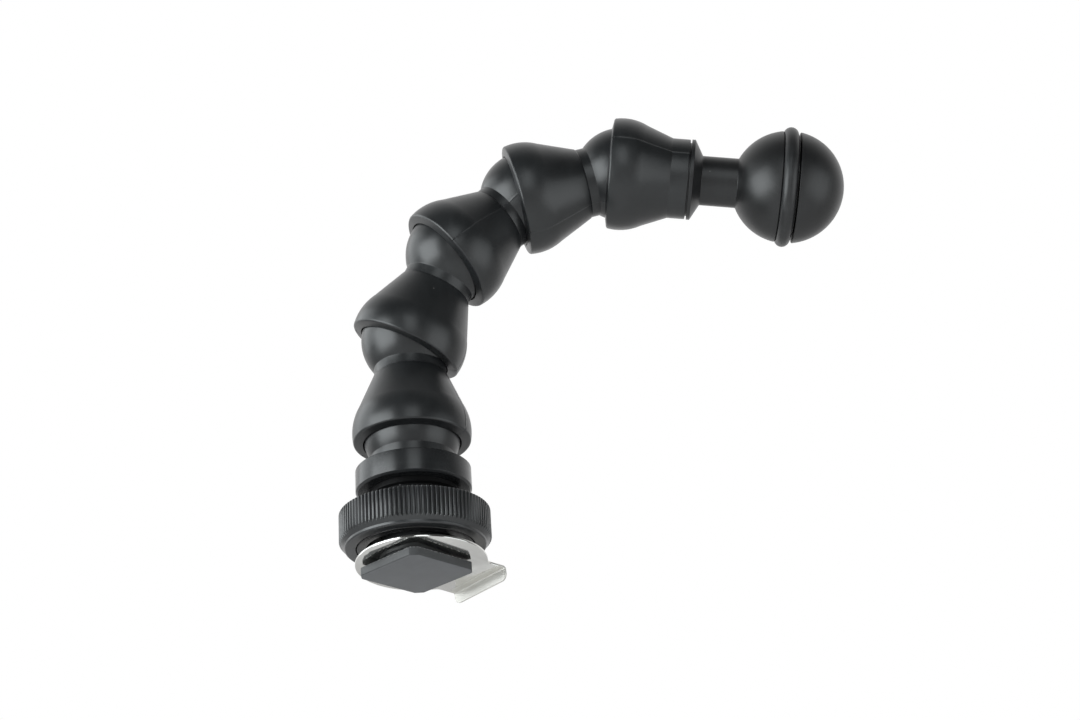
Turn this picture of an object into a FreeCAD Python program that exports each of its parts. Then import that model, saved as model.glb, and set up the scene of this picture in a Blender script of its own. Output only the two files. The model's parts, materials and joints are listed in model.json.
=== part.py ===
import FreeCAD, Part
import math
import os

# Flexible arm of ball-and-socket segments, from an accessory-shoe foot to a 25.4 mm ball.
# Millimetres. The origin is the centre of the foot's underside and +Z is the axis of the
# base. The arm bends towards +X about axes along +Y.

# Ball and socket, the same on every joint
BALL_R = 10.5
SOCKET_GAP = 0.1
BALL_TOP = 6.1
BALL_MOUTH_R = 7.2
BALL_MOUTH_DEPTH = 2.8
PITCH = 22.4
THROUGH_R = 5.7
THROAT_R = 6.6
THROAT_TAPER = 1.6

# Neck between a cone and its ball
NECK_R = 7.85
NECK_STEP = 0.25
NECK_START = 13.2

# Bell of a segment, measured from its socket's centre
MOUTH_DROP = 2.65
FLARE_START = 2.4
MOUTH_R = 10.5
LIP_R = 12.55
LIP_RISE = 0.3
LIP_ROUND = 0.55
BULGE_R = 12.65
BULGE_Z = 1.2
SHOULDER_R = 11.4
SHOULDER_Z = 5.35

# Hub that closes the last segment
HUB_R = 9.05
HUB_START = 11.3
HUB_END = 15.3
HUB_EDGE = 0.25
STUD_HOLE_R = 5.0

# Adapter with the grooved ball
STUD_R = 4.92
STUD_LENGTH = 3.8
SEAT_RELIEF_R = 8.3
SEAT_RELIEF = 0.35
FLANGE_R = 9.1
FLANGE_RIM = 0.75
FLANGE_CONE = 1.95
STEM_R = 5.6
STEM_FILLET = 0.6
MOUNT_BALL_R = 12.7
MOUNT_BALL_REACH = 37.9
GROOVE_WIDTH = 3.9
GROOVE_EDGE = 0.2
O_RING_SECTION_R = 1.7
O_RING_SINK = 0.85
O_RING_R = MOUNT_BALL_R - O_RING_SINK
O_RING_SHIFT = -0.2

# Where each segment points in the arm as it stands: degrees from upright towards +X, and
# degrees out of that plane towards -Y
SEGMENT_AIMS = ((0.2, -0.9), (27.8, 5.9), (50.1, -2.2), (77.9, 1.5), (99.6, 1.0))

# Accessory-shoe foot
FOOT_SIDE = 17.5
FOOT_CORNER = 1.43
FOOT_THICK = 1.85
FOOT_EDGE = 0.15
FOOT_TURN = 45.8
SHANK_R = 7.3
SHANK_HALF_FLATS = 6.0
SHANK_TOP = 8.0
SPIGOT_R = 6.0
SPIGOT_LENGTH = 4.0

# Locking plate, loose on the foot's shank
PLATE_R = 13.7
PLATE_THICK = 0.5
PLATE_HOLE_R = 9.0
PLATE_KEY_GAP = 0.6
PLATE_SHIFT = 1.4
PLATE_TURN = -3.5
PLATE_TILT = 3.5
PLATE_REST_GAP = 0.04
TAB_HALF_WIDTH = 8.2
TAB_FILLET = 2.0
FOLD_REACH = 15.2
FOLD_INNER_R = 0.3
LIP_DROP = 2.2
LIP_ANGLE = 84.0
LIP_CORNER_R = 1.5

# Boss with the thread that carries the clamp ring
BOSS_R = 10.0
BOSS_EDGE = 0.5

# Pressure disc, captive in the clamp ring
DISC_WIDTH = 2.17
DISC_FLANGE = 0.45
DISC_R = BOSS_R + DISC_WIDTH
DISC_FLANGE_R = DISC_R + DISC_FLANGE
DISC_THICK = 2.7
DISC_FLANGE_THICK = 1.4
DISC_EDGE = 0.3
DISC_BORE_GAP = 0.3
DISC_RADIAL_GAP = 0.2
DISC_AXIAL_GAP = 0.12
DISC_PROUD = 0.09

# Knurled clamp ring
RING_BOTTOM = 5.65
RING_HEIGHT = 7.7
RING_WIDTH = 5.8
RING_R = BOSS_R + RING_WIDTH
RING_BAND_STEP = 1.09
RING_BAND_R = RING_R - RING_BAND_STEP
RING_BAND = 0.76
RING_CHAMFER = 0.87
RING_EDGE = 0.25
RING_TOP_EDGE = 0.22
RING_THREAD_GAP = 0.06
KNURL_COUNT = 92
KNURL_DEPTH = 0.42
KNURL_CREST = 0.34
KNURL_FLOOR = 0.16

# Collar above the boss
COLLAR_STEP = 2.2
COLLAR_R = BOSS_R + COLLAR_STEP
BOSS_IN_SIGHT = 4.63
COLLAR_BOTTOM = RING_BOTTOM + RING_HEIGHT + BOSS_IN_SIGHT
COLLAR_HEIGHT = 5.2
COLLAR_FOOT_EDGE = 0.45
COLLAR_TOP_EDGE = 0.2
SEAT_GAP = 0.03

# Base ball, its spigot in the collar and the screw through it
BASE_NECK_R = 8.9
BASE_NECK = 2.98
BASE_BALL_HEIGHT = (COLLAR_BOTTOM + COLLAR_HEIGHT + BASE_NECK
                    + math.sqrt(BALL_R ** 2 - BASE_NECK_R ** 2))
BALL_FLOOR = 2.0
BALL_SPIGOT_R = 7.0
BALL_SPIGOT_LENGTH = 2.5
SCREW_R = 2.5
SCREW_CLEARANCE = 0.25
SCREW_LENGTH = 20.0
SCREW_HEAD_R = 4.25
SCREW_HEAD_HEIGHT = 5.0
SCREW_HEAD_EDGE = 0.4
HEX_ACROSS_FLATS = 4.0
HEX_DEPTH = 2.5
TAP_GAP = 0.04
TAP_RUNOUT = 1.0
WASHER_R = 4.4
WASHER_THICK = 1.2
WASHER_BORE_GAP = 0.15
WASHER_SLIT = 0.5
WASHER_SLIT_ANGLE = 25.0

SAME_PLACE = 0.01

Vector = FreeCAD.Vector
UP = Vector(0, 0, 1)
ALONG_X = Vector(1, 0, 0)
ALONG_Y = Vector(0, 1, 0)
ORIGIN = Vector(0, 0, 0)


def at(radius, height):
    """Point of a turned profile, in the XZ plane."""
    return Vector(radius, 0, height)


def line(start, end):
    """Straight edge of a profile."""
    return Part.LineSegment(start, end).toShape()


def arc(start, middle, end):
    """Circular edge through three points."""
    return Part.Arc(start, middle, end).toShape()


def polyline(points):
    """Edges that join the points in order."""
    return [line(a, b) for a, b in zip(points, points[1:])]


def turned(edges):
    """Solid turned about Z from the closed profile that the edges make."""
    return Part.Face(Part.Wire(edges)).revolve(ORIGIN, UP, 360)


def turned_ring(points):
    """Solid turned about Z from a closed profile of straight lines."""
    return turned(polyline(points + points[:1]))


def on_sphere(radius, centre_z, height):
    """Profile point of a sphere at a height above its centre."""
    return at(math.sqrt(radius ** 2 - height ** 2), centre_z + height)


def circle_edges(solid, radius, height):
    """Circular edges of a solid with the given radius and height."""
    found = []
    for edge in solid.Edges:
        if edge.Degenerated:
            continue
        curve = edge.Curve
        if isinstance(curve, Part.Circle) and abs(curve.Radius - radius) < SAME_PLACE:
            if abs(curve.Center.z - height) < SAME_PLACE:
                found.append(edge)
    return found


def ball_profile(centre_z, neck_r, bore_end):
    """Edges of a hollow ball, from its neck over the flat on its top and down its bore."""
    top = centre_z + BALL_TOP
    crown = on_sphere(BALL_R, centre_z, BALL_TOP)
    return [
        arc(at(neck_r, neck_end(centre_z, neck_r)), at(BALL_R, centre_z), crown),
        *polyline([crown, at(BALL_MOUTH_R, top), at(THROUGH_R, top - BALL_MOUTH_DEPTH),
                   at(THROUGH_R, bore_end)]),
    ]


def neck_end(centre_z, neck_r):
    """Height at which a neck runs into the ball above it."""
    return centre_z - math.sqrt(BALL_R ** 2 - neck_r ** 2)


def bell_profile():
    """Outer edges of a bell, from the inner edge of its lip to its shoulder."""
    corner = at(LIP_R - LIP_ROUND, LIP_RISE - MOUTH_DROP)
    side = at(LIP_R, corner.z + LIP_ROUND)
    bevel = LIP_ROUND * (1 - math.sqrt(0.5))
    return [
        line(at(MOUTH_R, -MOUTH_DROP), corner),
        arc(corner, at(LIP_R - bevel, corner.z + bevel), side),
        arc(side, at(BULGE_R, BULGE_Z), at(SHOULDER_R, SHOULDER_Z)),
    ]


def socket_profile(bore_r):
    """Inner edges of a socket, from its bore out to the inner edge of the lip."""
    radius = BALL_R + SOCKET_GAP
    throat = on_sphere(radius, 0, math.sqrt(radius ** 2 - THROAT_R ** 2))
    flare = on_sphere(radius, 0, -FLARE_START)
    return [
        line(at(bore_r, throat.z + THROAT_TAPER), throat),
        arc(throat, at(radius, 0), flare),
        line(flare, at(MOUTH_R, -MOUTH_DROP)),
    ]


def arm_segment():
    """One moulded segment: a bell with its socket, a neck and a hollow ball."""
    inner = socket_profile(THROUGH_R)
    outer = bell_profile()
    outer += polyline([at(SHOULDER_R, SHOULDER_Z), at(NECK_R + NECK_STEP, NECK_START),
                       at(NECK_R, NECK_START + NECK_STEP), at(NECK_R, neck_end(PITCH, NECK_R))])
    bore_end = inner[0].Vertexes[0].Point.z
    return turned(outer + ball_profile(PITCH, NECK_R, bore_end) + inner)


def end_segment():
    """Last segment: a bell with its socket and a tapped hub."""
    inner = socket_profile(STUD_HOLE_R)
    outer = bell_profile()
    outer += polyline([at(SHOULDER_R, SHOULDER_Z), at(HUB_R, HUB_START),
                       at(HUB_R, HUB_END - HUB_EDGE), at(HUB_R - HUB_EDGE, HUB_END),
                       at(STUD_HOLE_R, HUB_END), inner[0].Vertexes[0].Point])
    return turned(outer + inner)


def ball_adapter():
    """Turned adapter: stud, flange, stem and a ball with a groove round its equator."""
    flange_base = HUB_END + SEAT_RELIEF
    cone_base = flange_base + FLANGE_RIM
    stem_base = cone_base + FLANGE_CONE
    centre = MOUNT_BALL_REACH
    neck_z = centre - math.sqrt(MOUNT_BALL_R ** 2 - STEM_R ** 2)
    half = GROOVE_WIDTH / 2
    floor_r = O_RING_R - O_RING_SECTION_R - SEAT_GAP
    lower = on_sphere(MOUNT_BALL_R, centre, -half)
    upper = on_sphere(MOUNT_BALL_R, centre, half)
    below = on_sphere(MOUNT_BALL_R, centre, -MOUNT_BALL_R / 2)
    above = on_sphere(MOUNT_BALL_R, centre, MOUNT_BALL_R / 2)
    top = at(0, centre + MOUNT_BALL_R)
    stud_end = at(0, HUB_END - STUD_LENGTH)
    edges = polyline([
        stud_end, at(STUD_R, stud_end.z), at(STUD_R, HUB_END),
        at(SEAT_RELIEF_R, HUB_END), at(SEAT_RELIEF_R, flange_base), at(FLANGE_R, flange_base),
        at(FLANGE_R, cone_base), at(STEM_R, stem_base), at(STEM_R, neck_z)])
    edges.append(arc(at(STEM_R, neck_z), below, lower))
    edges += polyline([lower, at(floor_r, lower.z), at(floor_r, upper.z), upper])
    edges += [arc(upper, above, top), line(top, stud_end)]
    body = turned(edges)
    body = body.makeFillet(STEM_FILLET, circle_edges(body, STEM_R, neck_z))
    groove = [e for z in (lower.z, upper.z) for e in circle_edges(body, lower.x, z)]
    return body.makeFillet(GROOVE_EDGE, groove)


def ball_o_ring():
    """O-ring in the groove of the mount ball, pushed towards the stem."""
    centre = at(0, MOUNT_BALL_REACH + O_RING_SHIFT)
    return Part.makeTorus(O_RING_R, O_RING_SECTION_R, centre, UP)


def double_d(radius, half_flats, length):
    """Cylinder with two flats, which face along Y."""
    round_bar = Part.makeCylinder(radius, length)
    block = Part.makeBox(4 * radius, 2 * half_flats, length,
                         Vector(-2 * radius, -half_flats, 0))
    return round_bar.common(block)


def clipped_square(side, corner):
    """Face of a square about the origin with its corners cut off at 45 degrees."""
    half = side / 2
    leg = half - corner
    points = []
    for quarter in range(4):
        turn = FreeCAD.Rotation(UP, 90 * quarter)
        points += [turn.multVec(Vector(half, -leg, 0)), turn.multVec(Vector(half, leg, 0))]
    return Part.Face(Part.makePolygon(points + points[:1]))


def shoe_foot():
    """Foot with its keyed shank, and the spigot and tapped hole that take the collar."""
    block = clipped_square(FOOT_SIDE, FOOT_CORNER).extrude(UP * FOOT_THICK)
    block = block.makeChamfer(FOOT_EDGE, block.Edges)
    shank = double_d(SHANK_R, SHANK_HALF_FLATS, SHANK_TOP)
    spigot = Part.makeCylinder(SPIGOT_R, SPIGOT_LENGTH, at(0, SHANK_TOP))
    bottom = screw_tip() - TAP_RUNOUT
    depth = SHANK_TOP + SPIGOT_LENGTH - bottom
    hole = Part.makeCylinder(SCREW_R + TAP_GAP, depth, at(0, bottom))
    foot = block.fuse([shank, spigot]).removeSplitter().cut(hole)
    foot.rotate(ORIGIN, UP, FOOT_TURN)
    return foot


def plate_rest_height():
    """Height of the plate's underside on the axis, where it leans on the foot's far corner."""
    reach = (FOOT_SIDE - FOOT_CORNER) / math.sqrt(2)
    lean = math.radians(PLATE_TILT)
    return FOOT_THICK + PLATE_REST_GAP / math.cos(lean) + reach * math.tan(lean)


def tab_outline():
    """Face of the plate's disc and tab as far as the fold, with the tab towards +X."""
    half = TAB_HALF_WIDTH
    centre_r = PLATE_R + TAB_FILLET
    fillet_y = half + TAB_FILLET
    fillet_x = math.sqrt(centre_r ** 2 - fillet_y ** 2)
    touch = Vector(fillet_x, fillet_y, 0) * (PLATE_R / centre_r)
    inward = Vector(-fillet_x, -fillet_y, 0).normalize() + Vector(0, -1, 0)
    bottom = Vector(fillet_x, fillet_y, 0) + inward.normalize() * TAB_FILLET
    fold = FOLD_REACH

    def mirrored(point):
        return Vector(point.x, -point.y, 0)

    return Part.Face(Part.Wire([
        arc(touch, Vector(-PLATE_R, 0, 0), mirrored(touch)),
        arc(mirrored(touch), mirrored(bottom), Vector(fillet_x, -half, 0)),
        line(Vector(fillet_x, -half, 0), Vector(fold, -half, 0)),
        line(Vector(fold, -half, 0), Vector(fold, half, 0)),
        line(Vector(fold, half, 0), Vector(fillet_x, half, 0)),
        arc(Vector(fillet_x, half, 0), bottom, touch),
    ]))


def tab_lip():
    """The end of the tab, bent down, with rounded corners, starting at the fold."""
    half = TAB_HALF_WIDTH
    pivot = Vector(FOLD_REACH, 0, -FOLD_INNER_R)
    root = Part.Face(Part.makePolygon([
        Vector(FOLD_REACH, -half, 0), Vector(FOLD_REACH, half, 0),
        Vector(FOLD_REACH, half, PLATE_THICK), Vector(FOLD_REACH, -half, PLATE_THICK),
        Vector(FOLD_REACH, -half, 0)]))
    bend = root.revolve(pivot, ALONG_Y, LIP_ANGLE)
    flat = Part.makeBox(LIP_DROP, 2 * half, PLATE_THICK, Vector(FOLD_REACH, -half, 0))
    outer = [e for e in flat.Edges
             if e.CenterOfMass.x > FOLD_REACH + LIP_DROP - SAME_PLACE
             and abs(abs(e.CenterOfMass.y) - half) < SAME_PLACE]
    flat = flat.makeFillet(LIP_CORNER_R, outer)
    flat.rotate(pivot, ALONG_Y, LIP_ANGLE)
    return bend.fuse(flat)


def locking_plate():
    """Sheet plate with a keyed hole and a bent tab, leaning as it lies on the foot."""
    plate = tab_outline().extrude(UP * PLATE_THICK)
    plate = plate.fuse(tab_lip()).removeSplitter()
    plate = plate.cut(double_d(PLATE_HOLE_R, SHANK_HALF_FLATS + PLATE_KEY_GAP, PLATE_THICK))
    plate.translate(ALONG_X * PLATE_SHIFT)
    plate.rotate(ORIGIN, UP, FOOT_TURN + PLATE_TURN)
    plate.rotate(ORIGIN, ALONG_X, -PLATE_TILT)
    plate.translate(at(0, plate_rest_height()))
    return plate


def pressure_disc():
    """Flat ring that the clamp ring carries in its recess, with a flange that keeps it in."""
    bottom = RING_BOTTOM - DISC_PROUD
    top = bottom + DISC_THICK
    flange = top - DISC_FLANGE_THICK
    bore = BOSS_R + DISC_BORE_GAP
    disc = turned_ring([at(bore, bottom), at(DISC_R, bottom), at(DISC_R, flange),
                        at(DISC_FLANGE_R, flange), at(DISC_FLANGE_R, top), at(bore, top)])
    return disc.makeFillet(DISC_EDGE, circle_edges(disc, DISC_R, bottom))


def knurl_outline():
    """Outline of the knurled rim: straight teeth with flat crests and narrow floors."""
    step = 2 * math.pi / KNURL_COUNT
    root = RING_R - KNURL_DEPTH
    shape = [(-KNURL_CREST / 2, RING_R), (KNURL_CREST / 2, RING_R),
             (0.5 - KNURL_FLOOR / 2, root), (0.5 + KNURL_FLOOR / 2, root)]
    points = []
    for tooth in range(KNURL_COUNT):
        for share, radius in shape:
            angle = (tooth + share) * step
            points.append(Vector(radius * math.cos(angle), radius * math.sin(angle), 0))
    return Part.Face(Part.makePolygon(points + points[:1]))


def clamp_ring():
    """Knurled ring: thread on the boss, and a lipped recess under it for the disc."""
    top = RING_BOTTOM + RING_HEIGHT
    band_top = RING_BOTTOM + RING_BAND
    knurl_base = band_top + RING_CHAMFER
    bore = BOSS_R + RING_THREAD_GAP
    flange = RING_BOTTOM - DISC_PROUD + DISC_THICK - DISC_FLANGE_THICK - DISC_AXIAL_GAP
    recess_top = RING_BOTTOM - DISC_PROUD + DISC_THICK + DISC_AXIAL_GAP
    envelope = turned_ring([
        at(DISC_R + DISC_RADIAL_GAP, RING_BOTTOM), at(RING_BAND_R - RING_EDGE, RING_BOTTOM),
        at(RING_BAND_R, RING_BOTTOM + RING_EDGE), at(RING_BAND_R, band_top),
        at(RING_R + RING_EDGE, knurl_base + RING_EDGE * RING_CHAMFER / (RING_R - RING_BAND_R)),
        at(RING_R + RING_EDGE, top), at(RING_R - RING_TOP_EDGE, top),
        at(bore + RING_TOP_EDGE, top), at(bore, top - RING_TOP_EDGE), at(bore, recess_top),
        at(DISC_FLANGE_R + DISC_RADIAL_GAP, recess_top),
        at(DISC_FLANGE_R + DISC_RADIAL_GAP, flange), at(DISC_R + DISC_RADIAL_GAP, flange)])
    edge_cut = Part.makeCone(RING_R, RING_R - RING_TOP_EDGE, RING_TOP_EDGE,
                             at(0, top - RING_TOP_EDGE))
    body = Part.makeCylinder(RING_R + RING_EDGE, RING_HEIGHT - RING_TOP_EDGE,
                             at(0, RING_BOTTOM)).fuse(edge_cut)
    rim = knurl_outline().extrude(UP * RING_HEIGHT)
    rim.translate(at(0, RING_BOTTOM))
    return envelope.common(rim).common(body)


def base_collar():
    """Collar with the long threaded boss under it, which carries the clamp ring."""
    top = COLLAR_BOTTOM + COLLAR_HEIGHT
    bore = SCREW_R + SCREW_CLEARANCE
    spigot_hole = SHANK_TOP + SPIGOT_LENGTH + SEAT_GAP
    recess = top - BALL_SPIGOT_LENGTH - SEAT_GAP
    return turned_ring([
        at(SPIGOT_R + SEAT_GAP, SHANK_TOP), at(BOSS_R - BOSS_EDGE, SHANK_TOP),
        at(BOSS_R, SHANK_TOP + BOSS_EDGE), at(BOSS_R, COLLAR_BOTTOM),
        at(COLLAR_R - COLLAR_FOOT_EDGE, COLLAR_BOTTOM),
        at(COLLAR_R, COLLAR_BOTTOM + COLLAR_FOOT_EDGE), at(COLLAR_R, top - COLLAR_TOP_EDGE),
        at(COLLAR_R - COLLAR_TOP_EDGE, top), at(BALL_SPIGOT_R + SEAT_GAP, top),
        at(BALL_SPIGOT_R + SEAT_GAP, recess), at(bore, recess), at(bore, spigot_hole),
        at(SPIGOT_R + SEAT_GAP, spigot_hole)])


def base_ball():
    """Moulded ball that starts the arm, with its neck, its floor and its spigot."""
    seat = COLLAR_BOTTOM + COLLAR_HEIGHT
    floor = seat + BALL_FLOOR
    bore = SCREW_R + SCREW_CLEARANCE
    edges = polyline([at(BALL_SPIGOT_R, seat - BALL_SPIGOT_LENGTH), at(BALL_SPIGOT_R, seat),
                      at(BASE_NECK_R, seat), at(BASE_NECK_R, seat + BASE_NECK)])
    edges += ball_profile(BASE_BALL_HEIGHT, BASE_NECK_R, floor)
    edges += polyline([at(THROUGH_R, floor), at(bore, floor),
                       at(bore, seat - BALL_SPIGOT_LENGTH),
                       at(BALL_SPIGOT_R, seat - BALL_SPIGOT_LENGTH)])
    return turned(edges)


def screw_seat():
    """Height of the underside of the screw's head, on its washer."""
    return COLLAR_BOTTOM + COLLAR_HEIGHT + BALL_FLOOR + WASHER_THICK


def screw_tip():
    """Height of the screw's tip."""
    return screw_seat() - SCREW_LENGTH


def base_screw():
    """Socket-head screw that holds the base ball and the collar to the foot."""
    seat = screw_seat()
    head = Part.makeCylinder(SCREW_HEAD_R, SCREW_HEAD_HEIGHT, at(0, seat))
    head = head.makeChamfer(SCREW_HEAD_EDGE,
                            circle_edges(head, SCREW_HEAD_R, seat + SCREW_HEAD_HEIGHT))
    shank = Part.makeCylinder(SCREW_R, SCREW_LENGTH, at(0, screw_tip()))
    corner_r = HEX_ACROSS_FLATS / math.sqrt(3)
    corners = [FreeCAD.Rotation(UP, 60 * k).multVec(Vector(corner_r, 0, 0)) for k in range(7)]
    key_hole = Part.Face(Part.makePolygon(corners)).extrude(UP * SCREW_HEAD_HEIGHT)
    key_hole.translate(at(0, seat + SCREW_HEAD_HEIGHT - HEX_DEPTH))
    return head.fuse(shank).removeSplitter().cut(key_hole)


def spring_washer():
    """Split washer under the screw's head, drawn flat as it is when tightened."""
    bottom = screw_seat() - WASHER_THICK
    bore = SCREW_R + WASHER_BORE_GAP
    washer = Part.makeCylinder(WASHER_R, WASHER_THICK, at(0, bottom))
    washer = washer.cut(Part.makeCylinder(bore, WASHER_THICK, at(0, bottom)))
    slit = Part.makeBox(WASHER_R, WASHER_SLIT, 2 * WASHER_THICK,
                        Vector(0, -WASHER_SLIT / 2, -WASHER_THICK))
    slit.rotate(ORIGIN, ALONG_X, WASHER_SLIT_ANGLE)
    slit.translate(at(bore / 2, bottom + WASHER_THICK / 2))
    return washer.cut(slit)


def arm_placements():
    """Placement of each segment along the bent arm, from the base ball outwards."""
    centre = at(0, BASE_BALL_HEIGHT)
    placements = []
    for bend, lean in SEGMENT_AIMS:
        turn = FreeCAD.Rotation(ALONG_Y, bend).multiply(FreeCAD.Rotation(ALONG_X, lean))
        placements.append(FreeCAD.Placement(centre, turn))
        centre = centre + turn.multVec(UP * PITCH)
    return placements


def placed(shape, placement):
    """Copy of a shape moved to a placement."""
    moved = shape.copy()
    moved.transformShape(placement.toMatrix(), True)
    return moved


def build():
    """All sub-parts by name, in their places."""
    parts = {
        "shoe_foot": shoe_foot(),
        "locking_plate": locking_plate(),
        "pressure_disc": pressure_disc(),
        "clamp_ring": clamp_ring(),
        "base_collar": base_collar(),
        "base_ball": base_ball(),
        "base_screw": base_screw(),
        "spring_washer": spring_washer(),
    }
    placements = arm_placements()
    for number, placement in enumerate(placements[:-1], start=1):
        parts[f"arm_segment_{number}"] = placed(arm_segment(), placement)
    for name, maker in (("end_segment", end_segment), ("ball_adapter", ball_adapter),
                        ("ball_o_ring", ball_o_ring)):
        parts[name] = placed(maker(), placements[-1])
    return parts


os.makedirs("parts", exist_ok=True)
for node, solid in build().items():
    solid.exportStep(f"parts/{node}.step")
    box = solid.BoundBox
    print(f"{node}: {len(solid.Solids)} solid, {solid.Volume:.1f} mm3, valid {solid.isValid()}, "
          f"x {box.XMin:.2f}..{box.XMax:.2f}, y {box.YMin:.2f}..{box.YMax:.2f}, "
          f"z {box.ZMin:.2f}..{box.ZMax:.2f}")
for number, placement in enumerate(arm_placements(), start=1):
    centre = placement.Base
    print(f"joint {number}: centre {centre.x:.3f}, {centre.y:.3f}, {centre.z:.3f}")
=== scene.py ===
"""Flexible arm: finished pieces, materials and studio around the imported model.

Lengths are in metres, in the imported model's frame: +Z is the axis of the base, and the arm
bends towards +X. Sections of turned pieces are written as (radius, height).
"""

import json
import logging
import math
from collections.abc import Callable, Sequence
from dataclasses import dataclass, field
from enum import Enum

import bmesh
import bpy
from mathutils import Matrix, Vector

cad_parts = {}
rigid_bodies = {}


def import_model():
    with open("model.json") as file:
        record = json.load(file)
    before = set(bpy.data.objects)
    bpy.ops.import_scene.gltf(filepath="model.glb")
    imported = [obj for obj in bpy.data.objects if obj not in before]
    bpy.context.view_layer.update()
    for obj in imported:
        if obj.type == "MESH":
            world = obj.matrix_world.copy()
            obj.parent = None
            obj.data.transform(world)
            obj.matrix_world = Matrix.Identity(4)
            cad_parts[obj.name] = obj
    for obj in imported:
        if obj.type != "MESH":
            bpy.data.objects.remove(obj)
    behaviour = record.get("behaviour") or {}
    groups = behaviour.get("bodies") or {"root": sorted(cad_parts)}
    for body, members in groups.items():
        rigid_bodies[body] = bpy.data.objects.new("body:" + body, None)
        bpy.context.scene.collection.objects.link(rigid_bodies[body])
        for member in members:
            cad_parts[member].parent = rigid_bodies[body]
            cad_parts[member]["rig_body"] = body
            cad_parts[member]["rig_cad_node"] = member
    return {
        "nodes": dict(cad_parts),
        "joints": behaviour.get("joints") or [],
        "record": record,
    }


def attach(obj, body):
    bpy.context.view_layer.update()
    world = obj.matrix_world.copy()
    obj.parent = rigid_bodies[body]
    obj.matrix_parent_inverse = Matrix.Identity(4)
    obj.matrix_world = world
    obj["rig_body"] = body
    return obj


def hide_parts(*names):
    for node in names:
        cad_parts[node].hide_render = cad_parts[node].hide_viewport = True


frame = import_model()

MM = 0.001
TINY = 1e-6
SAME_PLACE = 2e-7

# Roundings of the corners of a section, and how one is drawn
CRISP = 0.06 * MM
FINE = 0.08 * MM
SOFT = 0.1 * MM
EASED = 0.15 * MM
ROUND = 0.2 * MM
CORNER_STEPS = 4
ROUNDED_SHARE = 0.45

# Edges shallower than these are shaded smooth, on turned and on sharper pieces
TURNED_ANGLE = math.radians(32)
SHARP_ANGLE = math.radians(28)

Point = tuple[float, float]
Colour = tuple[float, float, float]
Piece = bpy.types.Object
Material = bpy.types.Material
Socket = bpy.types.NodeSocket

log = logging.getLogger("arm")


# Operators on the mesh in edit mode


def start_alone(piece: Piece | None = None) -> None:
    """Leave edit mode and deselect every object but one.

    Args:
        piece: The object that is then selected and active, if any.
    """
    if bpy.context.object is not None and bpy.context.object.mode != "OBJECT":
        bpy.ops.object.mode_set(mode="OBJECT")
    bpy.ops.object.select_all(action="DESELECT")
    if piece is not None:
        piece.select_set(True)
        bpy.context.view_layer.objects.active = piece


def select_vertices(piece: Piece, chosen: Callable[[Vector], bool]) -> None:
    """Select the vertices of a piece in edit mode by their place.

    Args:
        piece: The mesh object in edit mode.
        chosen: Tells of a vertex's place whether it is selected.
    """
    bpy.ops.mesh.select_mode(type="VERT")
    mesh = bmesh.from_edit_mesh(piece.data)
    for vertex in mesh.verts:
        vertex.select = chosen(vertex.co)
    mesh.select_flush_mode()
    bmesh.update_edit_mesh(piece.data)


def select_edges(piece: Piece, chosen: Callable[[Vector, Vector], bool]) -> None:
    """Select the edges of a piece in edit mode by the places of their ends.

    Args:
        piece: The mesh object in edit mode.
        chosen: Tells of the two ends of an edge whether it is selected.
    """
    bpy.ops.mesh.select_mode(type="EDGE")
    bpy.ops.mesh.select_all(action="DESELECT")
    mesh = bmesh.from_edit_mesh(piece.data)
    for edge in mesh.edges:
        if chosen(edge.verts[0].co, edge.verts[1].co):
            edge.select_set(True)
    bmesh.update_edit_mesh(piece.data)


def single_vertex(name: str, place: Vector) -> Piece:
    """Start a piece from a plane that is merged to one vertex, and stay in edit mode.

    Args:
        name: Name of the piece.
        place: Where the vertex goes.

    Returns:
        The new object.
    """
    start_alone()
    bpy.ops.mesh.primitive_plane_add(size=MM, location=(0, 0, 0))
    piece = bpy.context.active_object
    piece.name = name
    piece.data.name = name
    bpy.ops.object.mode_set(mode="EDIT")
    bpy.ops.mesh.select_all(action="SELECT")
    bpy.ops.mesh.merge(type="CENTER")
    bpy.ops.transform.translate(value=place)
    return piece


def extrude_path(points: Sequence[Vector]) -> None:
    """Extrude the selected vertex of the active mesh through a row of places.

    Args:
        points: The places, of which the first is the selected vertex's own.
    """
    for start, end in zip(points, points[1:]):
        bpy.ops.mesh.extrude_region_move(TRANSFORM_OT_translate={"value": end - start})


def close_shell(merge: float = SAME_PLACE) -> None:
    """Merge doubles in the active mesh and turn its normals outwards.

    Args:
        merge: Distance below which two vertices become one.
    """
    bpy.ops.mesh.select_mode(type="VERT")
    bpy.ops.mesh.select_all(action="SELECT")
    bpy.ops.mesh.remove_doubles(threshold=merge)
    bpy.ops.mesh.select_all(action="SELECT")
    bpy.ops.mesh.normals_make_consistent(inside=False)


def finish_mesh(piece: Piece, smooth_angle: float = TURNED_ANGLE) -> Piece:
    """Leave edit mode and shade a piece smooth across its shallow edges.

    Args:
        piece: The shaped piece.
        smooth_angle: Angle of the sharpest edge that is shaded smooth.

    Returns:
        The same piece.
    """
    start_alone(piece)
    bpy.ops.object.shade_smooth_by_angle(angle=smooth_angle)
    return piece


def settle(piece: Piece, placement: Matrix) -> None:
    """Bake a placement into a piece's mesh, so that its object stays at the origin.

    Args:
        piece: The finished piece.
        placement: Where the piece goes in the frame.
    """
    start_alone(piece)
    piece.matrix_world = placement
    bpy.ops.object.transform_apply(location=True, rotation=True, scale=True)


def hand_over(piece: Piece, body: str, node: str,
              finish: Material) -> None:
    """Dress a piece, set it on its body and let it stand for its CAD node.

    Args:
        piece: The finished piece, in place.
        body: Body that it moves with.
        node: CAD node that it stands for.
        finish: Its material.
    """
    piece.data.materials.clear()
    piece.data.materials.append(finish)
    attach(piece, body)
    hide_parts(node)
    log.info("%s: %d faces, rides on %s", piece.name, len(piece.data.polygons), body)


# Sections of turned pieces


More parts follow.
